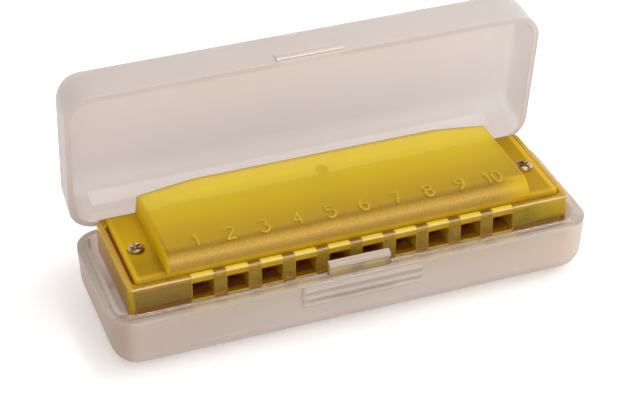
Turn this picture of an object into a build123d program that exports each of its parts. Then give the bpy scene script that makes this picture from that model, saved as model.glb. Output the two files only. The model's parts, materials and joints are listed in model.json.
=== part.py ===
# Hinged snap-shut case with a ten-hole harmonica lying in it.
# Millimetres. +X runs along the case, +Y towards the hinge, +Z up.
# The origin is the centre of the flat underside of the tray.

import os

from build123d import *

# ---- case, driving dimensions ----
comb_end_room = 4.2
comb_side_room = 4.3
harmonica_floor_room = 2.1
harmonica_head_room = 0.9
corner_radius = 6.2
tray_height = 12.9
edge_radius = 5.6
wall_lean_deg = 2.6
tray_wall = 1.4
lid_wall = 1.2
floor_thickness = 1.4
ceiling_thickness = 1.3

# inner lip that centres the shut lid
lip_height = 0.6
lip_thickness = 1.0
lip_clearance = 0.3
lip_shoulder = 2.0
lip_end_from_back = 3.8

# snap latch in the middle of the front wall
latch_width = 13.6
latch_side_gap = 0.3
latch_stem = 1.0
latch_above_lip = 2.55
latch_root_height = 8.4
latch_root_depth = 1.8
latch_foot_gap = 0.05
latch_front_gap = 0.25
bead_height = 1.4
bead_proud = 0.5
catch_width = 15.0
catch_height = 0.8
catch_proud = 0.5
catch_gap = 0.1
catch_lip_gap = 0.15
catch_bar_height = 2.4
catch_bar_proud = 0.35
catch_bar_from_rim = 0.35
catch_bar_edge = 0.25

# ribbed finger pad under the latch
pad_width = 27.0
pad_height = 5.2
pad_proud = 0.2
pad_corner = 0.5
pad_rib_count = 3
pad_rib_radius = 0.75
pad_rib_sink = 0.3
pad_rib_margin = 0.85
pad_rib_end = 0.3

# living hinge
hinge_offset = 0.5
hinge_bead_radius = 0.3
hinge_web_thickness = 0.4
hinge_web_gap = 0.02
hinge_web_length = 26.0
hinge_web_count = 3
hinge_web_pitch = 33.0
lid_rest_open_deg = 81.5

# cradle ribs on the tray's floor
cradle_count = 4
cradle_pitch = 22.0
cradle_thickness = 1.4
cradle_depth = 24.0
cradle_gap = 0.1

# ---- harmonica, driving dimensions ----
comb_length = 99.0
comb_depth = 27.0
comb_height = 7.5
comb_edge_radius = 0.4
comb_corner_radius = 1.2
harmonica_x = 0.7
harmonica_y = 1.3
plate_recess = 1.66
recess_end_border = 1.3
recess_front_border = 1.3
recess_back_border = 1.0
recess_corner = 1.5
hole_count = 10
hole_pitch = 7.5
channel_width = 4.6
channel_back_wall = 4.0

reed_plate_thickness = 0.9
plate_gap = 0.3
plate_end_gap = 0.55
slot_width = 2.3
slot_from_front = 4.5
reed_width = 2.0
reed_thickness = 0.3
reed_room = 11.5
reed_step = 0.5
reed_heel = 2.4
slot_end_gap = 0.3
rivet_radius = 0.6
rivet_head_radius = 0.85
rivet_head_height = 0.25
plate_pin_radius = 0.5
plate_pin_head_radius = 0.9
plate_pin_head_height = 0.3
plate_pin_length = 1.8
plate_pin_count = 4
plate_pin_from_hood = 5.0
plate_pin_from_back = 1.4

flange_thickness = 1.5
flange_corner = 1.5
cover_wall = 1.1
hood_from_end = 8.5
hood_lean_deg = 8.0
hood_height = 4.9
hood_front_rise = 0.9
crease_run = 3.3
crease_radius = 2.2
slope_bulge = 0.65
flare_rise = 1.5
flare_run = 5.6
flare_taper = 12.0
flare_from_end = 1.0
flare_end_rise = 0.02
numeral_height = 3.5
numeral_width = 1.8
numeral_stroke = 0.35
numeral_raise = 0.2
numeral_over_crease = 1.0
numeral_pitch = 7.4
stay_radius = 1.7
stay_from_back = 4.6

screw_from_end = 5.1
screw_y = -1.2
screw_radius = 1.0
screw_hole_radius = 1.06
screw_head_radius = 1.85
screw_head_height = 1.0
phillips_arm = 0.5
phillips_span = 2.3
phillips_depth = 0.6
nut_across_flats = 4.0
nut_height = 1.6
screw_tip = 0.3

# how far cutting shapes run past the faces they cut
cut_over = 1.0
join_over = 0.01

# ---- places worked out from them ----
case_length = comb_length + 2 * comb_end_room
case_depth = comb_depth + 2 * comb_side_room
comb_top = floor_thickness + harmonica_floor_room + flare_rise + hood_height + comb_height
harmonica_top = comb_top + hood_height + flare_rise
lid_height = harmonica_top + harmonica_head_room + ceiling_thickness - tray_height
half_depth = case_depth / 2
rim_z = tray_height
hinge_y = half_depth + hinge_offset
hinge_axis = Axis((0, hinge_y, rim_z), (1, 0, 0))
lip_outer = lid_wall + lip_clearance
lip_inner = lip_outer + lip_thickness
lip_top = rim_z + lip_height
catch_bottom = rim_z + lip_height + catch_lip_gap
catch_top = catch_bottom + catch_height
stem_front = -half_depth + lid_wall + catch_proud + latch_front_gap
latch_top = lip_top + latch_above_lip
latch_axis_y = stem_front + latch_stem / 2
latch_axis_z = latch_root_height + latch_foot_gap + latch_stem / 2
seat_z = comb_top - comb_height - hood_height
flange_top = flange_thickness + reed_plate_thickness - plate_recess
plate_top = reed_plate_thickness - plate_recess
recess_length = comb_length - 2 * recess_end_border
recess_depth = comb_depth - recess_front_border - recess_back_border
recess_y = (recess_front_border - recess_back_border) / 2
plate_length = recess_length - 2 * plate_end_gap
plate_depth = recess_depth - 2 * plate_gap
cover_front = recess_y - plate_depth / 2
cover_back = recess_y + plate_depth / 2
slot_front = slot_from_front - comb_depth / 2
screw_x = comb_length / 2 - screw_from_end
hood_half_base = comb_length / 2 - hood_from_end
plate_pin_pitch = 2 * (hood_half_base - plate_pin_from_hood) / (plate_pin_count - 1)
reed_longest = comb_depth - reed_room
harmonica_place = Pos(harmonica_x, harmonica_y, comb_top)


def hole_x(index):
    return (index - (hole_count - 1) / 2) * hole_pitch


def reed_length(index):
    return reed_longest - reed_step * index


def pan(length, depth, corner, height, edge):
    # solid pan with its rim at z = 0 and its flat floor at z = -height
    rim = RectangleRounded(length, depth, corner)
    body = extrude(rim, amount=height, dir=(0, 0, -1), taper=wall_lean_deg)
    return fillet(body.edges().group_by(Axis.Z)[0], edge)


def shell(height, wall, bottom):
    outer = pan(case_length, case_depth, corner_radius, height, edge_radius)
    inner = pan(
        case_length - 2 * wall,
        case_depth - 2 * wall,
        corner_radius - wall,
        height - bottom,
        edge_radius - wall,
    )
    return outer - inner


def ring(offset_out, offset_in, low, high):
    outer = RectangleRounded(
        case_length - 2 * offset_out, case_depth - 2 * offset_out, corner_radius - offset_out
    )
    inner = RectangleRounded(
        case_length - 2 * offset_in, case_depth - 2 * offset_in, corner_radius - offset_in
    )
    return Pos(0, 0, low) * extrude(outer - inner, amount=high - low)


def block(x_low, x_high, y_low, y_high, z_low, z_high):
    size = (x_high - x_low, y_high - y_low, z_high - z_low)
    middle = Pos((x_low + x_high) / 2, (y_low + y_high) / 2, (z_low + z_high) / 2)
    return middle * Box(*size)


def group(pieces):
    # separate solids that share one node
    return Compound([solid for piece in pieces for solid in piece.solids()])


def tray_lip():
    # the lip stands on a shoulder inside the wall, open at the back and at the latch
    lip = ring(lip_outer, lip_inner, rim_z, lip_top)
    shoulder = ring(tray_wall / 2, lip_inner, rim_z - lip_shoulder, rim_z)
    back_edge = half_depth - lip_end_from_back
    behind = block(
        -case_length, case_length, back_edge, case_depth, rim_z - 2 * lip_shoulder, 2 * rim_z
    )
    gap = latch_width / 2 + latch_side_gap
    mouth = block(
        -gap, gap, -case_depth, -half_depth + 2 * lip_inner, rim_z - 2 * lip_shoulder, 2 * rim_z
    )
    keep_wall = ring(0, tray_wall, rim_z - lip_shoulder, rim_z)
    return (lip + shoulder - behind - mouth) - keep_wall


def finger_pad():
    # a rounded pad with half-round ribs, sunk into the drafted front wall
    face = Plane(origin=(0, -half_depth, rim_z - pad_height / 2), x_dir=(1, 0, 0), z_dir=(0, -1, 0))
    plate = extrude(face * RectangleRounded(pad_width, pad_height, pad_corner), amount=pad_proud)
    plate += extrude(
        face * RectangleRounded(pad_width, pad_height, pad_corner), amount=-tray_wall / 2
    )
    spacing = (pad_height - 2 * pad_rib_margin) / (pad_rib_count - 1)
    for index in range(pad_rib_count):
        height = rim_z - pad_rib_margin - index * spacing
        rib = Rotation(0, 90, 0) * Cylinder(pad_rib_radius, pad_width - 2 * pad_rib_end)
        plate += Pos(0, -half_depth - pad_proud + pad_rib_sink, height) * rib
    return plate


def cradle_ribs():
    # cross ribs with a step at the back, where the harmonica's lower cover flares
    ribs = None
    top = seat_z - cradle_gap
    flare_y = harmonica_y + cover_back - flare_run
    flare_drop = flare_rise + cradle_gap
    for index in range(cradle_count):
        x = harmonica_x + (index - (cradle_count - 1) / 2) * cradle_pitch
        low = x - cradle_thickness / 2
        high = x + cradle_thickness / 2
        front = harmonica_y - cradle_depth / 2
        back = harmonica_y + cradle_depth / 2
        rib = block(low, high, front, flare_y, floor_thickness / 2, top)
        rib += block(low, high, flare_y, back, floor_thickness / 2, top - flare_drop)
        ribs = rib if ribs is None else ribs + rib
    return ribs


def latch_root():
    half = latch_width / 2
    back = stem_front + latch_root_depth
    return block(
        -half, half, -half_depth + tray_wall / 2, back, latch_root_height - latch_root_depth,
        latch_root_height,
    )


def make_tray():
    tray = Pos(0, 0, rim_z) * shell(tray_height, tray_wall, floor_thickness)
    tray += tray_lip()
    tray += finger_pad()
    tray += cradle_ribs()
    tray += latch_root()
    return tray


def make_living_hinge():
    # thin webs on the tray's back wall, each ending in the round bead that bends
    webs = []
    for index in range(hinge_web_count):
        x = (index - (hinge_web_count - 1) / 2) * hinge_web_pitch
        bead = Pos(x, hinge_y, rim_z) * Rotation(0, 90, 0) * Cylinder(
            hinge_bead_radius, hinge_web_length
        )
        web = block(
            x - hinge_web_length / 2,
            x + hinge_web_length / 2,
            half_depth,
            hinge_y,
            rim_z - hinge_web_gap - hinge_web_thickness,
            rim_z - hinge_web_gap,
        )
        webs.append(bead + web)
    return group(webs)


def make_lid():
    # modelled shut, then swung open about the hinge
    lid = Pos(0, 0, rim_z) * mirror(shell(lid_height, lid_wall, ceiling_thickness), about=Plane.XY)
    half = catch_width / 2
    front = -half_depth
    bar_low = rim_z + catch_bar_from_rim
    bar = block(-half, half, front - catch_bar_proud, front + lid_wall / 2, bar_low,
                bar_low + catch_bar_height)
    lid += fillet(bar.edges().filter_by(Axis.X).group_by(Axis.Y)[0], catch_bar_edge)
    inner_face = front + lid_wall
    lid += block(-half, half, inner_face - lid_wall / 2, inner_face + catch_proud, catch_bottom,
                 catch_top)
    return lid.rotate(hinge_axis, -lid_rest_open_deg)


def make_latch_tongue():
    # upright tongue with a round foot to bend about and a rounded bead near its top
    half = latch_width / 2
    stem = block(-half, half, stem_front, stem_front + latch_stem, latch_axis_z, latch_top)
    foot = Pos(0, latch_axis_y, latch_axis_z) * Rotation(0, 90, 0) * Cylinder(
        latch_stem / 2, latch_width
    )
    bead_low = catch_top + catch_gap
    bead = block(-half, half, stem_front - bead_proud, stem_front + latch_stem / 2, bead_low,
                 bead_low + bead_height)
    bead = fillet(bead.edges().filter_by(Axis.X).group_by(Axis.Y)[0], bead_proud * 0.9)
    return stem + foot + bead


def plate_outline(length, depth, corner):
    return Pos(0, recess_y) * RectangleRounded(length, depth, corner)


def screw_holes(z_low, z_high, radius):
    holes = []
    for side in (-1, 1):
        place = Pos(side * screw_x, screw_y, (z_low + z_high) / 2)
        holes.append(place * Cylinder(radius, z_high - z_low))
    return holes


def plate_pin_places():
    y = cover_back - plate_pin_from_back
    return [
        ((index - (plate_pin_count - 1) / 2) * plate_pin_pitch, y) for index in range(plate_pin_count)
    ]


def flip(shape):
    # turns an upper piece into its lower twin
    return Pos(0, 0, -comb_height) * mirror(shape, about=Plane.XY)


def make_comb():
    comb = block(
        -comb_length / 2, comb_length / 2, -comb_depth / 2, comb_depth / 2, -comb_height, 0
    )
    comb = fillet(comb.edges().filter_by(Axis.Z), comb_corner_radius)
    front_edges = comb.edges().filter_by(Axis.X).group_by(Axis.Y)[0]
    comb = fillet(front_edges, comb_edge_radius)
    recess = extrude(
        plate_outline(recess_length, recess_depth, recess_corner), amount=plate_recess,
        dir=(0, 0, -1),
    )
    comb -= recess
    comb -= flip(recess)
    for index in range(hole_count):
        x = hole_x(index)
        front = -comb_depth / 2
        comb -= block(
            x - channel_width / 2, x + channel_width / 2, front - cut_over,
            comb_depth / 2 - channel_back_wall, plate_recess - comb_height, -plate_recess,
        )
    for hole in screw_holes(-comb_height, 0, screw_hole_radius):
        comb -= hole
    pin_depth = plate_pin_length + plate_recess
    for x, y in plate_pin_places():
        pin = Pos(x, y, -pin_depth / 2) * Cylinder(plate_pin_radius, pin_depth)
        comb -= pin
        comb -= flip(pin)
    return comb


def rivet_y(index):
    return slot_front + reed_length(index) + reed_heel / 2


def make_reed_plate():
    # the upper plate, with a slot and a rivet hole for each reed
    plate = Pos(0, 0, -plate_recess) * extrude(
        plate_outline(plate_length, plate_depth, recess_corner - plate_gap),
        amount=reed_plate_thickness,
    )
    low = -plate_recess
    high = plate_top
    for index in range(hole_count):
        x = hole_x(index)
        slot_back = slot_front + reed_length(index)
        plate -= block(
            x - slot_width / 2, x + slot_width / 2, slot_front - slot_end_gap, slot_back, low, high
        )
        middle = Pos(x, rivet_y(index), (low + high) / 2)
        plate -= middle * Cylinder(rivet_radius, reed_plate_thickness)
    for hole in screw_holes(low, high, screw_hole_radius):
        plate -= hole
    for x, y in plate_pin_places():
        plate -= Pos(x, y, (low + high) / 2) * Cylinder(plate_pin_radius, reed_plate_thickness)
    return plate


def make_reed(index, z_low):
    # one brass tongue, lying over its slot and riveted at its heel
    x = hole_x(index)
    back = slot_front + reed_length(index) + reed_heel
    reed = block(
        x - reed_width / 2, x + reed_width / 2, slot_front, back, z_low, z_low + reed_thickness
    )
    middle = Pos(x, rivet_y(index), z_low + reed_thickness / 2)
    return reed - middle * Cylinder(rivet_radius, reed_thickness)


def make_rivets(z_low, z_high):
    rivets = []
    for index in range(hole_count):
        x = hole_x(index)
        y = rivet_y(index)
        shank = Pos(x, y, (z_low + z_high) / 2) * Cylinder(rivet_radius, z_high - z_low)
        head = Cylinder(rivet_head_radius, rivet_head_height)
        top = Pos(x, y, z_high + rivet_head_height / 2) * head
        bottom = Pos(x, y, z_low - rivet_head_height / 2) * head
        rivets.append(shank + top + bottom)
    return group(rivets)


def make_plate_pins():
    pins = []
    length = plate_pin_length + reed_plate_thickness
    for x, y in plate_pin_places():
        shank = Pos(x, y, plate_top - length / 2) * Cylinder(plate_pin_radius, length)
        head = Pos(x, y, plate_top + plate_pin_head_height / 2) * Cylinder(
            plate_pin_head_radius, plate_pin_head_height
        )
        pins.append(shank + head)
    return group(pins)


def hood_section(inset, drop):
    # side view of the hood: upright front foot, bulging slope, then the flat top
    front = cover_front + inset
    crease_y = cover_front + crease_run + inset / 2
    top = hood_height - inset
    back = cover_back + (cut_over if inset else 0)
    slope_y = (front + crease_y) / 2 - slope_bulge
    slope_z = (hood_front_rise + top) / 2 + slope_bulge
    path = [
        Line((front, -drop), (front, hood_front_rise)),
        ThreePointArc((front, hood_front_rise), (slope_y, slope_z), (crease_y, top)),
        Line((crease_y, top), (back, top)),
        Line((back, top), (back, -drop)),
        Line((back, -drop), (front, -drop)),
    ]
    side = make_face(path)
    crease = side.vertices().sort_by_distance((crease_y, top))[0]
    return Plane.YZ * fillet(crease, crease_radius - inset)


def hood_form(inset, drop):
    half = hood_half_base - inset
    body = extrude(hood_section(inset, drop), amount=half, both=True)
    leaning = extrude(
        Rectangle(2 * half, 4 * comb_depth), amount=2 * hood_height, taper=hood_lean_deg
    )
    foot = block(-half, half, -2 * comb_depth, 2 * comb_depth, -comb_height, 0)
    return body & (leaning + foot)


def flare_form(inset, past):
    # the raised back edge, fading out towards both ends
    half = hood_half_base - inset - flare_from_end
    start = cover_back - flare_run
    base = hood_height - inset - cover_wall / 2
    top = hood_height - inset
    sections = []
    for x, rise in (
        (-half, flare_end_rise),
        (-half + flare_taper, flare_rise),
        (half - flare_taper, flare_rise),
        (half, flare_end_rise),
    ):
        outline = Polyline(
            (start, base), (start, top), (cover_back, top + rise), (cover_back + past, top + rise),
            (cover_back + past, base), close=True,
        )
        sections.append(Pos(x, 0, 0) * (Plane.YZ * make_face(outline)))
    return loft(sections, ruled=True)


def make_cover():
    # flange in the comb's recess and a hollow hood, open at its back and underneath
    cover = Pos(0, 0, plate_top) * extrude(
        plate_outline(plate_length, plate_depth, flange_corner - plate_gap),
        amount=flange_thickness,
    )
    cover += hood_form(0, -plate_top)
    cover += flare_form(0, join_over)
    cover -= hood_form(cover_wall, -plate_top)
    cover -= flare_form(cover_wall, cut_over)
    stay_y = cover_back - stay_from_back
    stay_top = hood_height - cover_wall / 2
    cover += Pos(0, stay_y, (plate_top + stay_top) / 2) * Cylinder(stay_radius, stay_top - plate_top)
    for hole in screw_holes(plate_top, flange_top, screw_hole_radius):
        cover -= hole
    return cover


def stroke(*points):
    # a thin line through points given as shares of the numeral's width and height
    path = [(x * numeral_width, y * numeral_height) for x, y in points]
    return trace(Polyline(*path), line_width=numeral_stroke)


def bend(start, middle, end):
    path = [(x * numeral_width, y * numeral_height) for x, y in (start, middle, end)]
    return trace(ThreePointArc(*path), line_width=numeral_stroke)


def bowl(height, size):
    # a closed loop centred at a share of the numeral's height
    across = numeral_width * 0.5
    tall = size * numeral_height
    half = numeral_stroke / 2
    loop = Ellipse(across + half, tall + half) - Ellipse(across - half, tall - half)
    return Pos(0, height * numeral_height) * loop


def digit(character):
    if character == "1":
        return stroke((-0.3, 0.78), (0.1, 1), (0.1, 0))
    if character == "2":
        return bend((-0.5, 0.75), (0.1, 1), (0.3, 0.52)) + stroke((0.3, 0.52), (-0.5, 0), (0.5, 0))
    if character == "3":
        return bend((-0.5, 0.9), (0.4, 0.85), (0, 0.54)) + bend((0, 0.54), (0.5, 0.2), (-0.5, 0.08))
    if character == "4":
        return stroke((0.25, 0), (0.25, 1), (-0.5, 0.3)) + stroke((-0.5, 0.3), (0.5, 0.3))
    if character == "5":
        top = stroke((0.45, 1), (-0.35, 1), (-0.4, 0.58))
        return top + bend((-0.4, 0.58), (0.5, 0.3), (-0.5, 0.06))
    if character == "6":
        return bowl(0.28, 0.28) + bend((0.3, 1), (-0.35, 0.7), (-0.5, 0.28))
    if character == "7":
        return stroke((-0.5, 1), (0.45, 1), (-0.1, 0))
    if character == "8":
        return bowl(0.26, 0.26) + bowl(0.76, 0.24)
    if character == "9":
        return bowl(0.72, 0.28) + bend((-0.3, 0), (0.35, 0.3), (0.5, 0.72))
    return bowl(0.5, 0.5)


def make_numerals():
    # plain numerals from 1 up, one over each hole, standing proud along the rounded crease
    numerals = []
    base_y = cover_front + crease_run - numeral_over_crease
    base_z = hood_height - cover_wall + numeral_raise / 2
    skin = Pos(0, -numeral_raise / 2, numeral_raise) * hood_form(0, -plate_top)
    for index in range(hole_count):
        label = str(index + 1)
        middle = (index - (hole_count - 1) / 2) * numeral_pitch
        for place, character in enumerate(label):
            shift = (place - (len(label) - 1) / 2) * (numeral_width + numeral_stroke)
            shape = Pos(middle + shift, base_y, base_z) * extrude(digit(character), amount=cover_wall * 2)
            numerals.append(shape & skin)
    return numerals


def make_upper_cover():
    cover = make_cover()
    for numeral in make_numerals():
        cover += numeral
    return cover


def make_screws():
    screws = []
    tip = -comb_height - flange_top - nut_height - screw_tip
    for side in (-1, 1):
        shank = Pos(0, 0, (tip + flange_top) / 2) * Cylinder(screw_radius, flange_top - tip)
        head = Pos(0, 0, flange_top + screw_head_height / 2) * Cylinder(
            screw_head_radius, screw_head_height
        )
        head = fillet(head.edges().group_by(Axis.Z)[-1], screw_head_height * 0.6)
        recess_z = flange_top + screw_head_height - phillips_depth / 2
        for turn in (0, 90):
            head -= Pos(0, 0, recess_z) * Rotation(0, 0, turn + 20) * Box(
                phillips_span, phillips_arm, phillips_depth
            )
        screws.append(Pos(side * screw_x, screw_y, 0) * (shank + head))
    return group(screws)


def make_nuts():
    nuts = []
    top = -comb_height - flange_top
    for side in (-1, 1):
        outline = RegularPolygon(nut_across_flats / 2, 6, major_radius=False)
        nut = Pos(0, 0, top - nut_height) * extrude(outline, amount=nut_height)
        nut -= Pos(0, 0, top - nut_height / 2) * Cylinder(screw_radius, nut_height)
        nuts.append(Pos(side * screw_x, screw_y, 0) * nut)
    return group(nuts)


def case_pieces():
    return {
        "tray": make_tray(),
        "living_hinge": make_living_hinge(),
        "lid": make_lid(),
        "latch_tongue": make_latch_tongue(),
    }


def harmonica_pieces():
    plate = make_reed_plate()
    pins = make_plate_pins()
    blow_z = -plate_recess - reed_thickness
    draw_z = -comb_height - plate_top - reed_thickness
    pieces = {
        "comb": make_comb(),
        "upper_reed_plate": plate,
        "lower_reed_plate": flip(plate),
        "blow_rivets": make_rivets(blow_z, plate_top),
        "draw_rivets": make_rivets(draw_z, plate_recess - comb_height),
        "upper_plate_pins": pins,
        "lower_plate_pins": flip(pins),
        "upper_cover": make_upper_cover(),
        "lower_cover": flip(make_cover()),
        "cover_screws": make_screws(),
        "cover_nuts": make_nuts(),
    }
    for index in range(hole_count):
        pieces[f"blow_reed_{index + 1}"] = make_reed(index, blow_z)
        pieces[f"draw_reed_{index + 1}"] = make_reed(index, draw_z)
    return {name: harmonica_place * shape for name, shape in pieces.items()}


def main():
    os.makedirs("parts", exist_ok=True)
    pieces = case_pieces()
    pieces.update(harmonica_pieces())
    for name, shape in pieces.items():
        export_step(shape, f"parts/{name}.step")
        print(name, len(shape.solids()), round(shape.volume, 2))


main()
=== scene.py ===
import json
import math

import bpy
from mathutils import Matrix, Vector

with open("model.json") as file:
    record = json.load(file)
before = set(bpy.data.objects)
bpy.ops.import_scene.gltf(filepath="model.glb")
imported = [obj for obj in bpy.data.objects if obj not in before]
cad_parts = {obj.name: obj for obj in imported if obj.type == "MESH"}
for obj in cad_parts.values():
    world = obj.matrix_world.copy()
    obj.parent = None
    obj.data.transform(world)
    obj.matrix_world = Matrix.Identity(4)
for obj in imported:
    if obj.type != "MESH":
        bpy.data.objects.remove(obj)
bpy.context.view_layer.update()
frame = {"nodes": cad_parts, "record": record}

nodes = frame["nodes"]
print("frame loaded:", len(nodes), "nodes")


# a socket that takes part in sums: each sum adds its Math node
class Link:
    def __init__(self, paint, socket):
        self.paint = paint
        self.socket = socket

    def __abs__(self):
        return self.paint.math("ABSOLUTE", self)

    def __add__(self, other):
        return self.paint.math("ADD", self, other)

    def __radd__(self, other):
        return self.paint.math("ADD", other, self)

    def __sub__(self, other):
        return self.paint.math("SUBTRACT", self, other)

    def __rsub__(self, other):
        return self.paint.math("SUBTRACT", other, self)

    def __mul__(self, other):
        return self.paint.math("MULTIPLY", self, other)

    def __truediv__(self, other):
        return self.paint.math("DIVIDE", self, other)

    def __gt__(self, other):
        return self.paint.math("GREATER_THAN", self, other)

    def __lt__(self, other):
        return self.paint.math("LESS_THAN", self, other)


# the node tree of one material, or of the world
class Paint:
    def __init__(self, name, home=None):
        self.owner = (bpy.data.materials if home is None else home).new(name)
        self.owner.use_nodes = True
        self.tree = self.owner.node_tree
        self.tree.nodes.clear()

    def node(self, kind, settings=None, sockets=None, out=0):
        made = self.tree.nodes.new(kind)
        for key, value in (settings or {}).items():
            setattr(made, key, value)
        for key, value in (sockets or {}).items():
            if isinstance(value, Link):
                self.tree.links.new(value.socket, made.inputs[key])
            else:
                made.inputs[key].default_value = value
        return Link(self, made.outputs[out])

    def math(self, operation, *values):
        return self.node("ShaderNodeMath", {"operation": operation}, dict(enumerate(values)))

    def larger(self, first, *others):
        for other in others:
            first = self.math("MAXIMUM", first, other)
        return first

    def smooth(self, value, start, end):
        # 0 at start and 1 at end, whichever is the lower
        return self.node("ShaderNodeMapRange", {"interpolation_type": "SMOOTHSTEP"},
                         {"Value": value, "From Min": start, "From Max": end})

    def offPitch(self, value, first, pitch):
        # how far from the nearest of a row of places
        steps = (value - first) / pitch + 0.5
        return abs(self.math("FRACT", steps) - 0.5) * pitch

    def away(self, aside, beside):
        return self.math("SQRT", aside * aside + beside * beside)

    def mix(self, factor, first, second, blend="MIX"):
        first, second = (shade if isinstance(shade, Link) else (*shade, 1.0) for shade in (first, second))
        return self.node("ShaderNodeMix", {"data_type": "RGBA", "blend_type": blend},
                         {0: factor, 6: first, 7: second}, out=2)

    def ramp(self, value, stops):
        made = self.node("ShaderNodeValToRGB", None, {0: value})
        elements = made.socket.node.color_ramp.elements
        for position, _ in stops[2:]:
            elements.new(position)
        for element, (position, colour) in zip(elements, stops):
            element.position = position
            element.color = (*colour, 1.0)
        return made

    def place(self, scale=(1, 1, 1)):
        coords = self.node("ShaderNodeTexCoord", out="Object")
        return self.node("ShaderNodeMapping", None, {"Vector": coords, "Scale": scale})

    def axes(self, vector):
        # how far across, back and up
        parts = self.node("ShaderNodeSeparateXYZ", None, {0: vector})
        return [Link(self, socket) for socket in parts.socket.node.outputs]

    def noise(self, scale, detail, rough=0.5, where=None):
        return self.node("ShaderNodeTexNoise", None, {
            "Vector": where or self.place(), "Scale": scale, "Detail": detail, "Roughness": rough})

    def bump(self, height, strength, distance, rounding=None):
        # rounding softens the edges: how many samples, and the radius
        sockets = {"Height": height, "Strength": strength, "Distance": distance}
        if rounding:
            samples, radius = rounding
            sockets["Normal"] = self.node("ShaderNodeBevel", {"samples": samples}, {"Radius": radius})
        return self.node("ShaderNodeBump", None, sockets)

    def plastic(self, colour, normal, roughness, clearness, bend, shine=0.5):
        colour = colour if isinstance(colour, Link) else (*colour, 1.0)
        return self.node("ShaderNodeBsdfPrincipled", None, {
            "Base Color": colour, "Roughness": roughness, "IOR": bend, "Specular IOR Level": shine,
            "Transmission Weight": clearness, "Normal": normal})

    def metal(self, colour, purity, sockets):
        return self.node("ShaderNodeBsdfPrincipled", None, {
            "Base Color": colour, "Metallic": purity, **sockets})

    def join(self, factor, first, second):
        return self.node("ShaderNodeMixShader", None, {0: factor, 1: first, 2: second})

    def seen(self):
        # 1 for rays that look at this surface, straight or through metal and plastic
        camera, glossy, through = (self.node("ShaderNodeLightPath", out=f"Is {kind} Ray")
                                   for kind in ("Camera", "Glossy", "Transmission"))
        return self.node("ShaderNodeMath", {"operation": "ADD", "use_clamp": True},
                         {0: camera + glossy, 1: through})

    def finish(self, surface, kind="ShaderNodeOutputMaterial"):
        output = self.tree.nodes.new(kind)
        self.tree.links.new(surface.socket, output.inputs["Surface"])
        return self.owner


def within(value, low, high):
    return (value > low) * (value < high)


def tone(red, green, blue):
    # a colour as seen on screen, made linear
    return tuple(c / 12.92 if c <= 0.04045 else ((c + 0.055) / 1.055) ** 2.4 for c in (red, green, blue))


cameraSpec = {"pixelsWide": 640, "focalPixels": 1895.3, "azimuth": -19.97, "elevation": 34.10,
              "roll": -0.361, "target": (-0.001147, 0.005097, 0.0174), "distance": 0.41049,
              "sensor": 36.0, "near": 0.01, "far": 20.0}


def addCamera(spec):
    turn, rise, roll = (math.radians(spec[k]) for k in ("azimuth", "elevation", "roll"))
    back = Vector((math.sin(turn) * math.cos(rise), -math.cos(turn) * math.cos(rise), math.sin(rise)))
    right = (-back).cross(Vector((0, 0, 1))).normalized()
    up = right.cross(-back)
    side = math.cos(roll) * right + math.sin(roll) * up
    top = -math.sin(roll) * right + math.cos(roll) * up
    data = bpy.data.cameras.new("camera")
    data.sensor_fit = "HORIZONTAL"
    data.sensor_width = spec["sensor"]
    data.lens = spec["focalPixels"] * spec["sensor"] / spec["pixelsWide"]
    data.clip_start = spec["near"]
    data.clip_end = spec["far"]
    camera = bpy.data.objects.new("camera", data)
    bpy.context.collection.objects.link(camera)
    place = Vector(spec["target"]) + back * spec["distance"]
    turned = Matrix((side, top, back)).transposed().to_4x4()
    camera.matrix_world = Matrix.Translation(place) @ turned
    bpy.context.scene.camera = camera


addCamera(cameraSpec)
print("camera set")


# Object coordinates are the case's own: metres from the middle of the tray's underside.
# A pair of numbers is where a change starts and where it is complete, or the two ends of a range.
shellSpec = {
    "pale": (0.91, 0.815, 0.755), "grey": (0.86, 0.765, 0.71), "cloudScale": 30.0,
    "grainScale": 2400.0, "grainBump": 0.2, "grainDepth": 0.00010, "rounding": (4, 0.00010),
    "roughness": 0.34, "roughSpread": 0.12, "clearness": 0.66, "bend": 1.49, "rimZ": 0.0129,
    "thinBack": -0.0140, "thinFront": (-0.0140, -0.0144), "thinFoot": (0.0126, 0.0134),
    "thinTop": (0.0145, 0.0142), "beadFoot": 0.0145, "thinShare": 0.9, "thinRoughness": 0.04,
    "thinRoughSpread": 0.08, "thinClearness": 1.0, "thinTone": (0.98, 0.94, 0.89),
    "milkRoughness": 0.4, "milkRoughSpread": 0.1, "milkClearness": 0.15,
    "padFront": (-0.01792, -0.01802), "padTop": 0.0129, "ribPitch": 0.00175,
    "grooveWave": (0.1, -0.9), "crestWave": (0.2, 1.0), "groove": (0.74, 0.64, 0.57),
    "crest": (0.99, 0.94, 0.91), "lipTop": (0.01335, 0.01345), "lipEnd": 0.0137,
    "bead": (0.72, 0.57, 0.41)}
lidSpec = {
    "foot": 0.0022, "hingeY": 0.0183, "open": math.radians(81.5), "halfLength": 0.05,
    "left": (0.80, 0.74, 0.715), "right": (0.84, 0.785, 0.765), "cloudShare": 0.25,
    "band": (1.0, 0.96, 0.95), "bandNear": 0.0226, "bandFar": 0.0273, "bandFade": 0.0008,
    "bandHalf": 0.0474, "bandFloor": 0.0149, "bandTilt": 0.19, "bandTop": 0.0185,
    "side": (0.86, 0.81, 0.79), "sideX": 0.0440, "end": (0.955, 0.915, 0.90), "endX": 0.0512,
    "endFade": 0.0008, "wallX": 0.0531, "wallLean": math.tan(math.radians(2.6)),
    "mouth": (0.84, 0.735, 0.70), "mouthRun": (0.00045, 0.00025), "mouthShare": 0.42,
    "mouthBarShare": 0.4, "line": (0.92, 0.82, 0.78), "lineShare": 0.9, "barHalf": 0.0075,
    "barFoot": 0.045, "barLow": 0.0008, "barHigh": 0.0027, "lowRun": (0.00028, 0.00014),
    "highRun": (0.00030, 0.00015)}
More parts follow.
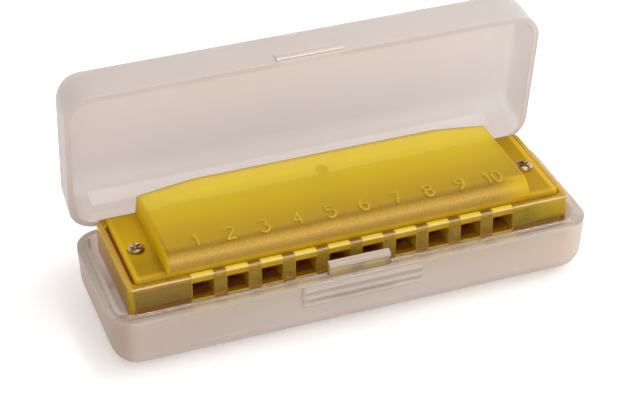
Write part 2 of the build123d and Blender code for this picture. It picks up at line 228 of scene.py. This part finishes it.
traySpec = {
    "end": (0.68, 0.53, 0.44), "endRun": (-0.0475, -0.0525), "endTop": 0.0127,
    "front": -0.0170, "rimRise": 0.0001, "right": (0.94, 0.81, 0.68), "rightRun": (0.01, 0.05),
    "left": (0.80, 0.69, 0.60), "leftRun": (-0.005, -0.04), "leftShare": 0.7,
    "warm": (0.84, 0.71, 0.56), "warmRun": (0.0085, 0.0123), "warmShare": 0.7, "warmHalf": 0.0474,
    "rim": (0.74, 0.60, 0.46), "rimBack": -0.0155, "rimShare": 0.85,
    "rimEdge": (-0.01715, -0.01735), "rimEdgeDeep": 0.00035}
# the comb painted on as it would show through the tray's clear lip and the tongue's stem, its lit patches
# painted light
throughSpec = {
    "lipLit": (0.68, 0.54, 0.28), "lipDull": (0.52, 0.40, 0.26), "stemLit": (0.88, 0.74, 0.26),
    "stemDull": (0.62, 0.50, 0.34), "stemFoot": 0.0136, "first": -0.03415, "pitch": 0.0075,
    "litRun": (0.0025, 0.0021), "depth": (-0.01730, -0.0148), "height": (0.01285, 0.0144),
    "lipTop": (0.01345, 0.01355), "end": 0.0370, "share": 0.5}


def lidTone(paint, spec, colour, cloud, point, onLid, deep):
    # painted shade darker at its left and lighter at its right, a painted highlight in a low strip, and
    # painted light inside its right end
    across, where, height = point
    # painted shade toward the lid's left, lighter toward its right
    along = paint.smooth(across, -spec["halfLength"], spec["halfLength"])
    clouded = 1.0 - spec["cloudShare"] + cloud * spec["cloudShare"]
    colour = paint.mix(onLid * clouded, colour, paint.mix(along, spec["left"], spec["right"]))
    # a painted highlight in a low strip inside the lid
    lit = paint.smooth(where, spec["bandFar"], spec["bandFar"] - spec["bandFade"])
    lit = lit * paint.smooth(where, spec["bandNear"], spec["bandNear"] + spec["bandFade"])
    lit = lit * (height > spec["bandFloor"] + (where - spec["bandNear"]) * spec["bandTilt"])
    lit = lit * (abs(across) < spec["bandHalf"]) * (height < spec["bandTop"])
    colour = paint.mix(lit, colour, spec["band"])
    # painted light on the lid's inner walls near its right end
    indoors = onLid * (across < spec["wallX"] - deep * spec["wallLean"])
    side = paint.smooth(across, spec["sideX"], spec["endX"]) * indoors
    colour = paint.mix(side, colour, spec["side"])
    end = paint.smooth(across, spec["endX"], spec["endX"] + spec["endFade"]) * indoors
    return paint.mix(end, colour, spec["end"])


def trayTone(paint, shell, spec, colour, point):
    # painted shade at its left end and toward its left front, warmer toward its right front, a painted warm
    # glow where the harmonica shows through behind its rim, painted shade on the rim's top and a painted
    # highlight along the rim's front edge
    across, where, height = point
    # painted shade at the tray's left end
    end = paint.smooth(across, *spec["endRun"]) * (height < spec["endTop"])
    colour = paint.mix(end, colour, spec["end"])
    belowRim = height < shell["rimZ"] + spec["rimRise"]
    onFront = (where < spec["front"]) * belowRim
    colour = paint.mix(paint.smooth(across, *spec["rightRun"]) * onFront, colour, spec["right"])
    # painted shade toward the tray's left front
    left = paint.smooth(across, *spec["leftRun"]) * onFront * spec["leftShare"]
    colour = paint.mix(left, colour, spec["left"])
    bead = (height > shell["beadFoot"]) * (where < shell["thinBack"])
    colour = paint.mix(bead, colour, shell["bead"])
    # a painted warm glow where the harmonica shows through the front wall
    warm = paint.smooth(height, *spec["warmRun"]) * onFront * (abs(across) < spec["warmHalf"])
    colour = paint.mix(warm * spec["warmShare"], colour, spec["warm"])
    # painted shade on the top of the tray's rim
    rimTop = (height > shell["rimZ"] - spec["rimRise"]) * belowRim * (where < spec["rimBack"])
    colour = paint.mix(rimTop * spec["rimShare"], colour, spec["rim"])
    # a painted highlight along the front edge of the tray's rim
    rimEdge = paint.smooth(where, *spec["rimEdge"]) * belowRim
    rimEdge = rimEdge * (height > shell["rimZ"] - spec["rimEdgeDeep"])
    return paint.mix(rimEdge, colour, shell["crest"])


def padTone(paint, spec, colour, point):
    # painted shade in the finger pad's grooves and a painted highlight on its ribs
    _, where, height = point
    turn = (height - spec["padTop"] + spec["ribPitch"] / 2) * (math.tau / spec["ribPitch"])
    wave = paint.math("COSINE", turn)
    onPad = paint.smooth(where, *spec["padFront"])
    colour = paint.mix(onPad * paint.smooth(wave, *spec["grooveWave"]), colour, spec["groove"])
    colour = paint.mix(onPad * paint.smooth(wave, *spec["crestWave"]), colour, spec["crest"])
    # a painted highlight along the top of the lip
    ridge = paint.smooth(height, *spec["lipTop"]) * (where < spec["thinBack"])
    return paint.mix(ridge * (height < spec["lipEnd"]), colour, spec["crest"])


def combThrough(paint, spec, point):
    across, where, height = point
    off = paint.offPitch(across, spec["first"], spec["pitch"])
    # painted light on the comb's patches seen through the lip and stem
    lit = paint.smooth(off, *spec["litRun"])
    zone = within(where, *spec["depth"]) * within(height, *spec["height"])
    zone = zone * (1.0 - within(height, *spec["lipTop"])) * (abs(across) < spec["end"])
    lip = paint.mix(lit, spec["lipDull"], spec["lipLit"])
    stem = paint.mix(lit, spec["stemDull"], spec["stemLit"])
    return zone, paint.mix(height > spec["stemFoot"], lip, stem)


def frostedShell(spec, lid, tray, through):
    paint = Paint("frostedPolypropylene")
    cloud = paint.noise(spec["cloudScale"], 4.0)
    grain = paint.noise(spec["grainScale"], 2.0)
    point = across, where, height = paint.axes(paint.place())
    normal = paint.bump(grain, spec["grainBump"], spec["grainDepth"], spec["rounding"])
    # whether a point is on the lid, and how far it is from the lid's mouth
    onLid = height > spec["rimZ"] + lid["foot"]
    deep = (where - lid["hingeY"]) * math.sin(lid["open"]) + (height - spec["rimZ"]) * math.cos(lid["open"])
    colour = paint.mix(cloud, spec["grey"], spec["pale"])
    colour = lidTone(paint, lid, colour, cloud, point, onLid, deep)
    colour = trayTone(paint, spec, tray, colour, point)
    colour = padTone(paint, spec, colour, point)
    wall = paint.plastic(colour, normal, spec["roughness"] + cloud * spec["roughSpread"],
                         spec["clearness"], spec["bend"])
    # the thin lip and the latch tongue's stem are nearly clear
    thin = paint.plastic(spec["thinTone"], normal, spec["thinRoughness"] + cloud * spec["thinRoughSpread"],
                         spec["thinClearness"], spec["bend"])
    isThin = paint.smooth(where, *spec["thinFront"]) * paint.smooth(height, *spec["thinFoot"])
    isThin = isThin * paint.smooth(height, *spec["thinTop"])
    both = paint.join(isThin * spec["thinShare"], wall, thin)
    # the lid's mouth looks milky; the bar's two edges carry painted highlight lines, and the comb behind the
    # lip is painted on with painted light, both in the milky mix
    bar = (abs(across) < lid["barHalf"]) * (height > lid["barFoot"])
    lines = bar * paint.larger(paint.smooth(abs(deep - lid["barLow"]), *lid["lowRun"]),
                               paint.smooth(abs(deep - lid["barHigh"]), *lid["highRun"]))
    zone, comb = combThrough(paint, through, point)
    milk = paint.mix(zone, paint.mix(lines, lid["mouth"], lid["line"]), comb)
    milky = paint.plastic(milk, normal, spec["milkRoughness"] + cloud * spec["milkRoughSpread"],
                          spec["milkClearness"], spec["bend"])
    mouth = paint.smooth(deep, *lid["mouthRun"]) * onLid
    mouth = mouth * (lid["mouthShare"] + bar * lid["mouthBarShare"])
    share = paint.larger(mouth, lines * lid["lineShare"], zone * through["share"])
    return paint.finish(paint.join(share, both, milky))


combSpec = {
    "deep": (0.95, 0.48, 0.01), "light": (0.98, 0.62, 0.02), "cloudScale": 90.0, "roughness": 0.05,
    "roughSpread": 0.06, "clearness": 0.70, "bend": 1.5, "waveScale": 260.0, "waveBump": 0.3,
    "waveDepth": 0.00006, "streakScale": 900.0, "streakStretch": (1.0, 1.0, 0.10),
    "streakRun": (0.3, 0.7), "firstHole": -0.03305, "pitch": 0.0075, "middleX": 0.0007,
    "holesHalf": 0.0365, "holeHalf": 0.0023, "holeTop": 0.01574, "holeSill": 0.01156,
    "front": -0.01195, "frontRun": (-0.01195, -0.01205), "edgeHeight": 0.01705,
    "edge": (0.95, 0.85, 0.56), "edgeLit": (1.0, 0.86, 0.34), "edgeDull": (0.66, 0.50, 0.28),
    "tooth": (1.0, 0.66, 0.07), "toothRun": (0.00255, 0.00295), "toothPlain": 0.4, "toothStreak": 0.8,
    "smokeLeft": (0.80, 0.53, 0.10), "smokeRight": (1.0, 0.76, 0.03), "smokePlain": 0.4,
    "smokeCloud": 0.6, "foot": (0.50, 0.25, 0.02), "footRun": (0.0126, 0.0122), "footShare": 0.8,
    "panel": (1.0, 0.70, 0.025), "panelRun": (0.0407, 0.0447), "panelFoot": (0.0126, 0.0134)}
# painted light and painted shade in the comb, where it would gather light or show dark through it: tones,
# places and shares of the milky mix
glowSpec = {
    "lit": (0.99, 0.82, 0.08), "litRun": (0.0026, 0.0022), "rimRun": (0.0168, 0.0171),
    "rimFront": -0.0108, "corner": (0.97, 0.62, 0.008), "cornerRun": (0.0482, 0.0488),
    "sill": (1.0, 0.86, 0.20), "sillDrop": 0.0001, "sillThick": 0.00024, "sillRise": 0.00005,
    "underRun": (0.01126, 0.01096), "ledge": (0.26, 0.10, 0.005), "inside": (0.90, 0.60, 0.04),
    "insideOut": 0.0003, "borderOut": 0.0001, "borderRun": (0.00022, 0.00008),
    "lintel": (0.66, 0.45, 0.013), "hollow": (0.16, 0.05, 0.002), "hollowRun": (0.01604, 0.01584),
    "hollowFoot": 0.01564, "shade": (0.20, 0.125, 0.01), "roughness": 0.12, "clearness": 0.25,
    "cornerShare": 0.55, "edgeShare": 0.9, "insideShare": 0.7, "borderShare": 0.08,
    "lintelShare": 0.7, "panelShare": 0.35, "share": 0.8}


def clearYellow(spec, glow):
    paint = Paint("clearYellowPlastic")
    cloud = paint.noise(spec["cloudScale"], 3.0)
    streak = paint.noise(spec["streakScale"], 2.0, 0.6, paint.place(spec["streakStretch"]))
    normal = paint.bump(paint.noise(spec["waveScale"], 2.0), spec["waveBump"], spec["waveDepth"])
    across, where, height = paint.axes(paint.place())
    off = paint.offPitch(across, spec["firstHole"], spec["pitch"])
    aside = abs(across - spec["middleX"])
    amongHoles = aside < spec["holesHalf"]
    onFront = where < spec["front"]
    indoors = where > spec["front"]
    # between the holes the front is streaked; beside them the blank ends carry painted shade of the hollow
    # behind at the left and painted light at the right
    colour = paint.mix(paint.smooth(streak, *spec["streakRun"]), spec["deep"], spec["light"])
    tooth = paint.smooth(off, *spec["toothRun"]) * onFront
    colour = paint.mix(tooth * (spec["toothPlain"] + streak * spec["toothStreak"]), colour, spec["tooth"])
    blank = onFront * (1.0 - amongHoles)
    smoke = paint.mix(across > spec["middleX"], spec["smokeLeft"], spec["smokeRight"])
    colour = paint.mix(blank * (spec["smokePlain"] + cloud * spec["smokeCloud"]), colour, smoke)
    # painted shade at the foot of the blank ends
    foot = blank * paint.smooth(height, *spec["footRun"]) * spec["footShare"]
    colour = paint.mix(foot, colour, spec["foot"])
    # painted light on the comb's right end panel
    panel = paint.smooth(across, *spec["panelRun"]) * onFront * paint.smooth(height, *spec["panelFoot"])
    colour = paint.mix(panel, colour, spec["panel"])
    roughSpread = cloud * spec["roughSpread"]
    clear = paint.plastic(colour, normal, spec["roughness"] + roughSpread, spec["clearness"], spec["bend"])
    # painted light on the thin wall over each hole, on top and in front, and on the end corners, and a
    # painted highlight along the front edge
    overHole = paint.smooth(off, *glow["litRun"]) * amongHoles
    rim = paint.smooth(height, *glow["rimRun"]) * (where < glow["rimFront"])
    corner = paint.smooth(aside, *glow["cornerRun"])
    edge = paint.smooth(where, *spec["frontRun"]) * (height > spec["edgeHeight"])
    # painted light on the sides of each hole and below it, a painted highlight on its sill and painted shade
    # on the sill's top face, and above the hole painted shade where the hollow shows through
    upright = (height < spec["holeTop"]) * (height > spec["holeSill"] + glow["sillRise"]) * amongHoles
    inside = upright * (off < spec["holeHalf"] + glow["insideOut"]) * indoors
    beside = abs(off - spec["holeHalf"] - glow["borderOut"])
    border = paint.smooth(beside, *glow["borderRun"]) * upright * onFront
    ledge = overHole * (abs(height - spec["holeSill"]) < glow["sillRise"]) * indoors
    sill = abs(height - spec["holeSill"] + glow["sillDrop"]) < glow["sillThick"]
    sill = overHole * sill * onFront
    under = overHole * paint.smooth(height, *glow["underRun"]) * onFront
    hollow = overHole * paint.smooth(height, *glow["hollowRun"]) * onFront * (height > glow["hollowFoot"])
    lintel = overHole * (height > spec["holeTop"]) * (1.0 - edge) * onFront
    # painted shade on the comb's top between the holes and above each hole
    dark = paint.larger(rim * (1.0 - overHole) * amongHoles * (1.0 - edge), hollow)
    edgeTone = paint.mix(overHole, spec["edgeDull"], spec["edgeLit"])
    darkTone = paint.mix(hollow, glow["shade"], glow["hollow"])
    bright = paint.mix(corner, glow["lit"], glow["corner"])
    bright = paint.mix(panel * (1.0 - corner), bright, spec["panel"])
    bright = paint.mix(lintel, bright, glow["lintel"])
    bright = paint.mix(edge, bright, paint.mix(amongHoles, spec["edge"], edgeTone))
    bright = paint.mix(paint.larger(sill, border), bright, glow["sill"])
    bright = paint.mix(inside, bright, glow["inside"])
    bright = paint.mix(ledge, bright, glow["ledge"])
    bright = paint.mix(dark, bright, darkTone)
    lit = paint.plastic(bright, normal, glow["roughness"] + roughSpread, glow["clearness"], spec["bend"])
    share = paint.larger(
        overHole * rim, corner * glow["cornerShare"], edge * glow["edgeShare"], dark, sill, under, ledge,
        inside * glow["insideShare"], border * glow["borderShare"], lintel * glow["lintelShare"],
        panel * (1.0 - edge) * glow["panelShare"])
    return paint.finish(paint.join(share * glow["share"], clear, lit))


# the cover is moulded glossy inside and sand-textured on its front slope
coverSpec = {
    "creaseY": -0.0073, "backY": 0.0134, "footZ": 0.0183, "creaseZ": 0.0223, "middleX": 0.0007,
    "cloudScale": 70.0, "topCloud": 0.12, "slopeCloud": 0.1, "raisedRun": (0.01835, 0.01865),
    "slopeRun": (-0.0070, -0.0080), "flareRun": (0.0055, 0.0090),
    "topStops": ((0.0, (0.70, 0.43, 0.001)), (0.30, (0.80, 0.55, 0.002)), (0.58, (0.95, 0.70, 0.006)),
                 (0.68, (1.0, 0.78, 0.02)), (0.75, (0.86, 0.66, 0.06)), (0.85, (0.96, 0.73, 0.065)),
                 (1.0, (1.0, 0.76, 0.12))),
    "slopeStops": ((0.0, (0.66, 0.42, 0.02)), (0.14, (0.58, 0.34, 0.045)), (0.32, (0.58, 0.37, 0.065)),
                   (0.56, (0.82, 0.53, 0.11)), (0.72, (0.68, 0.42, 0.06)), (0.88, (0.40, 0.22, 0.01)),
                   (1.0, (0.50, 0.30, 0.002))),
    "grainScale": 4200.0, "speckScale": 3000.0, "grainShare": 0.4, "speckShare": 0.6,
    "sandRun": (0.40, 0.62), "sandDull": (0.86, 0.83, 0.76), "sandLit": (1.07, 1.07, 1.07),
    "grainBump": 0.4, "grainDepth": 0.00008, "rounding": (8, 0.0014),
    "flange": (0.56, 0.32, 0.001), "flangeLeft": (0.80, 0.48, 0.001),
    "flangeDeep": (0.50, 0.29, 0.001), "deepRun": (0.003, -0.006),
    "flangeFoot": (0.72, 0.43, 0.015), "footRun": (-0.0088, -0.0096),
    "brim": (0.96, 0.64, 0.01), "brimRun": (0.0462, 0.0468), "brimShare": 0.7,
    "gap": (0.60, 0.26, 0.02), "endX": 0.0476,
    "post": (0.0007, 0.0089), "postRun": (0.0017, 0.0011), "postTone": (0.40, 0.30, 0.01),
    "postShare": 0.3,
    "figure": (0.96, 0.72, 0.035), "figureRise": (0.00006, 0.00014), "figureShare": 0.65,
    "figureFoot": 0.0205, "bulge": (-0.006473, 0.018256), "bulgeRadius": 0.0041276,
    "hoodEnd": (0.99, 0.68, 0.004), "hoodEndLow": (0.90, 0.58, 0.001),
    "hoodEndRun": (0.0400, 0.0405), "hoodEndCloud": 0.6, "hoodEndClimb": (0.3, 0.9),
    "slopeEndRun": (0.0325, 0.0405), "slopeEndShare": 0.6,
    "roughness": 0.34, "roughSpread": 0.1, "slopeRough": 0.1, "clearness": 0.6, "bend": 1.5,
    "shine": 0.13, "milkShine": 0.02, "milkClearness": 0.12, "flareMilk": 0.8, "flangeMilk": 0.7,
    "raisedDrop": 0.5, "figureMilk": 0.5, "slopeMilk": 0.65, "endMilk": 0.6}


def coverTone(paint, spec, cloud, grain, point, raised, slope):
    across, where, height = point
    back = (where - spec["creaseY"]) / (spec["backY"] - spec["creaseY"])
    # painted light: the flat top brightens toward a painted highlight at the rear flare
    top = paint.ramp(back + (cloud - 0.5) * spec["topCloud"], spec["topStops"])
    climb = (height - spec["footZ"]) / (spec["creaseZ"] - spec["footZ"])
    # painted light and shade in bands down the rounded slope
    front = paint.ramp(climb + (cloud - 0.5) * spec["slopeCloud"], spec["slopeStops"])
    # the slope's sand texture; its lighter specks are painted glints
    speck = paint.noise(spec["speckScale"], 2.0, 0.6)
    sand = paint.smooth(grain * spec["grainShare"] + speck * spec["speckShare"], *spec["sandRun"])
    sandy = paint.mix(1.0, front, paint.mix(sand, spec["sandDull"], spec["sandLit"]), "MULTIPLY")
    # painted light: the flange is painted lighter at its left end and at its front strip; it is darker
    # toward the front on its left and lighter along its brim
    aside = abs(across - spec["middleX"])
    onLeft = across < 0.0
    flange = paint.mix(onLeft, spec["flange"], spec["flangeLeft"])
    flange = paint.mix(paint.smooth(where, *spec["deepRun"]) * onLeft, flange, spec["flangeDeep"])
    flange = paint.mix(paint.smooth(where, *spec["footRun"]), flange, spec["flangeFoot"])
    brim = paint.smooth(aside, *spec["brimRun"]) * spec["brimShare"]
    flange = paint.mix(brim, flange, spec["brim"])
    colour = paint.mix(raised, flange, top)
    # the stay post is welded to the cover's underside; its shadow is painted as a darker spot
    away = paint.away(across - spec["post"][0], where - spec["post"][1])
    welded = paint.smooth(away, *spec["postRun"]) * spec["postShare"]
    colour = paint.mix(slope, paint.mix(welded, colour, spec["postTone"]), sandy)
    # painted light on the slope's right end and the hood's end walls, darker toward the bottom of the walls
    slopeEnd = paint.smooth(across, *spec["slopeEndRun"]) * slope * spec["slopeEndShare"]
    colour = paint.mix(slopeEnd, colour, spec["hoodEnd"])
    hoodEnd = paint.smooth(aside, *spec["hoodEndRun"]) * raised
    endClimb = paint.smooth(climb + (cloud - 0.5) * spec["hoodEndCloud"], *spec["hoodEndClimb"])
    return paint.mix(hoodEnd, colour, paint.mix(endClimb, spec["hoodEndLow"], spec["hoodEnd"])), hoodEnd


def proudFigures(paint, spec, point):
    # the proud numerals, on the flat top and where they run down the slope
    _, where, height = point
    low, high = spec["figureRise"]
    onTop = paint.smooth(height, spec["creaseZ"] + low, spec["creaseZ"] + high)
    onTop = onTop * within(where, spec["creaseY"], 0.0)
    reach = paint.away(where - spec["bulge"][0], height - spec["bulge"][1])
    onSlope = paint.smooth(reach, spec["bulgeRadius"] + low, spec["bulgeRadius"] + high)
    onSlope = onSlope * (where < spec["creaseY"]) * (height > spec["figureFoot"])
    return paint.larger(onTop, onSlope)


def frostedYellow(spec):
    paint = Paint("frostedYellowPlastic")
    point = across, where, height = paint.axes(paint.place())
    cloud = paint.noise(spec["cloudScale"], 3.0)
    grain = paint.noise(spec["grainScale"], 3.0, 0.7)
    raised = paint.smooth(height, *spec["raisedRun"])
    slope = paint.smooth(where, *spec["slopeRun"]) * raised
    flare = paint.smooth(where, *spec["flareRun"]) * raised
    colour, hoodEnd = coverTone(paint, spec, cloud, grain, point, raised, slope)
    proud = proudFigures(paint, spec, point)
    # a painted highlight on the proud numerals
    colour = paint.mix(proud * spec["figureShare"], colour, spec["figure"])
    # painted shadow on the side faces at the flange's ends
    colour = paint.mix(abs(across - spec["middleX"]) > spec["endX"], colour, spec["gap"])
    normal = paint.bump(grain, spec["grainBump"], spec["grainDepth"], spec["rounding"])
    rough = spec["roughness"] + cloud * spec["roughSpread"]
    clear = paint.plastic(colour, normal, rough + slope * spec["slopeRough"], spec["clearness"],
                          spec["bend"], spec["shine"])
    milky = paint.plastic(colour, normal, rough, spec["milkClearness"], spec["bend"], spec["milkShine"])
    milk = paint.larger(flare * spec["flareMilk"], spec["flangeMilk"] - raised * spec["raisedDrop"],
                        proud * spec["figureMilk"], slope * spec["slopeMilk"], hoodEnd * spec["endMilk"])
    return paint.finish(paint.join(milk, clear, milky))


brassSpec = {"dull": tone(0.76, 0.52, 0.22), "bright": tone(0.90, 0.68, 0.34), "streakScale": 900.0,
             "streakStretch": (0.06, 1.0, 1.0), "purity": 0.75, "roughness": 0.22, "roughSpread": 0.18,
             "streakBump": 0.15, "streakDepth": 0.00005}


def stampedBrass(spec):
    paint = Paint("stampedBrass")
    streaks = paint.noise(spec["streakScale"], 3.0, 0.6, paint.place(spec["streakStretch"]))
    return paint.finish(paint.metal(paint.mix(streaks, spec["dull"], spec["bright"]), spec["purity"], {
        "Roughness": spec["roughness"] + streaks * spec["roughSpread"],
        "Normal": paint.bump(streaks, spec["streakBump"], spec["streakDepth"])}))


# the golden tint of both tones is a painted reflection of the yellow covers around the screws
steelSpec = {"dull": tone(0.36, 0.26, 0.14), "bright": tone(0.95, 0.86, 0.68), "markScale": 420.0,
             "fineScale": 2600.0, "markShare": 0.75, "fineShare": 0.25, "markRun": (0.36, 0.62),
             "roughness": 0.10, "roughSpread": 0.2}


def platedSteel(spec):
    paint = Paint("platedSteel")
    marks = paint.noise(spec["markScale"], 3.0)
    fine = paint.noise(spec["fineScale"], 2.0)
    marked = paint.smooth(marks * spec["markShare"] + fine * spec["fineShare"], *spec["markRun"])
    return paint.finish(paint.metal(paint.mix(marked, spec["dull"], spec["bright"]), 1.0, {
        "Roughness": spec["roughness"] + fine * spec["roughSpread"]}))


finishes = {"frosted_shell": frostedShell(shellSpec, lidSpec, traySpec, throughSpec),
            "clear_yellow": clearYellow(combSpec, glowSpec), "frosted_yellow": frostedYellow(coverSpec),
            "brass": stampedBrass(brassSpec), "steel": platedSteel(steelSpec)}
slotOf = {part["node"]: part["material_slot"] for part in frame["record"]["subparts"]}
for name, item in nodes.items():
    item.data.materials.clear()
    item.data.materials.append(finishes[slotOf[name]])
print("finishes given")


stageSpec = {"floorSize": 6.0, "floorColour": tone(0.985, 0.975, 0.97), "cloudTone": tone(0.97, 0.955, 0.95),
             "cloudScale": 3.0, "cloudShare": 0.15, "lift": 0.24}
worldSpec = {"colour": (1.0, 0.985, 0.97), "strength": 0.86, "leanRight": 0.28, "leanFront": 0.26}
lampSpecs = {
    "overheadLamp": {"place": (0.27, 0.24, 0.90), "size": (0.5, 0.4), "power": 1.5},
    "stripLamp": {"place": (0.28, 0.10, 0.92), "size": (0.40, 0.06), "power": 0.9},
    "sideLamp": {"place": (0.95, 0.05, 0.45), "size": (0.5, 0.5), "power": 1.6}}
lampAim = (0, 0, 0.02)
lampColour = (1.0, 0.985, 0.96)


def addFloor(spec):
    bpy.ops.mesh.primitive_plane_add(size=spec["floorSize"], location=(0, 0, 0))
    floor = bpy.context.object
    floor.name = "floor"
    paint = Paint("paleFloor")
    cloud = paint.noise(spec["cloudScale"], 2.0) * spec["cloudShare"]
    colour = paint.mix(cloud, spec["floorColour"], spec["cloudTone"])
    diffuse = paint.node("ShaderNodeBsdfDiffuse", None, {"Color": colour})
    glow = paint.node("ShaderNodeEmission", None, {
        "Color": paint.mix(paint.seen(), (0, 0, 0), (1, 1, 1)), "Strength": spec["lift"]})
    floor.data.materials.append(paint.finish(paint.node("ShaderNodeAddShader", None, {0: diffuse, 1: glow})))


def addWorld(spec):
    # a little brighter from the right and from the front, and white where it is looked at
    paint = Paint("studio", bpy.data.worlds)
    right, back, _ = paint.axes(paint.node("ShaderNodeTexCoord", out="Generated"))
    light = paint.node("ShaderNodeBackground", None, {
        "Color": (*spec["colour"], 1.0),
        "Strength": spec["strength"] + right * spec["leanRight"] - back * spec["leanFront"]})
    white = paint.node("ShaderNodeBackground", None, {"Color": (1, 1, 1, 1), "Strength": 1.0})
    both = paint.join(paint.seen(), light, white)
    bpy.context.scene.world = paint.finish(both, "ShaderNodeOutputWorld")


def addLamp(name, spec, aim, colour):
    data = bpy.data.lights.new(name, "AREA")
    data.shape = "RECTANGLE"
    data.size, data.size_y = spec["size"]
    data.energy = spec["power"]
    data.color = colour
    lamp = bpy.data.objects.new(name, data)
    bpy.context.collection.objects.link(lamp)
    lamp.location = spec["place"]
    lamp.rotation_euler = (Vector(aim) - Vector(spec["place"])).to_track_quat("-Z", "Y").to_euler()


addFloor(stageSpec)
addWorld(worldSpec)
for name, spec in lampSpecs.items():
    addLamp(name, spec, lampAim, lampColour)
bpy.context.scene.view_settings.view_transform = "Standard"
print("stage and lamps set")
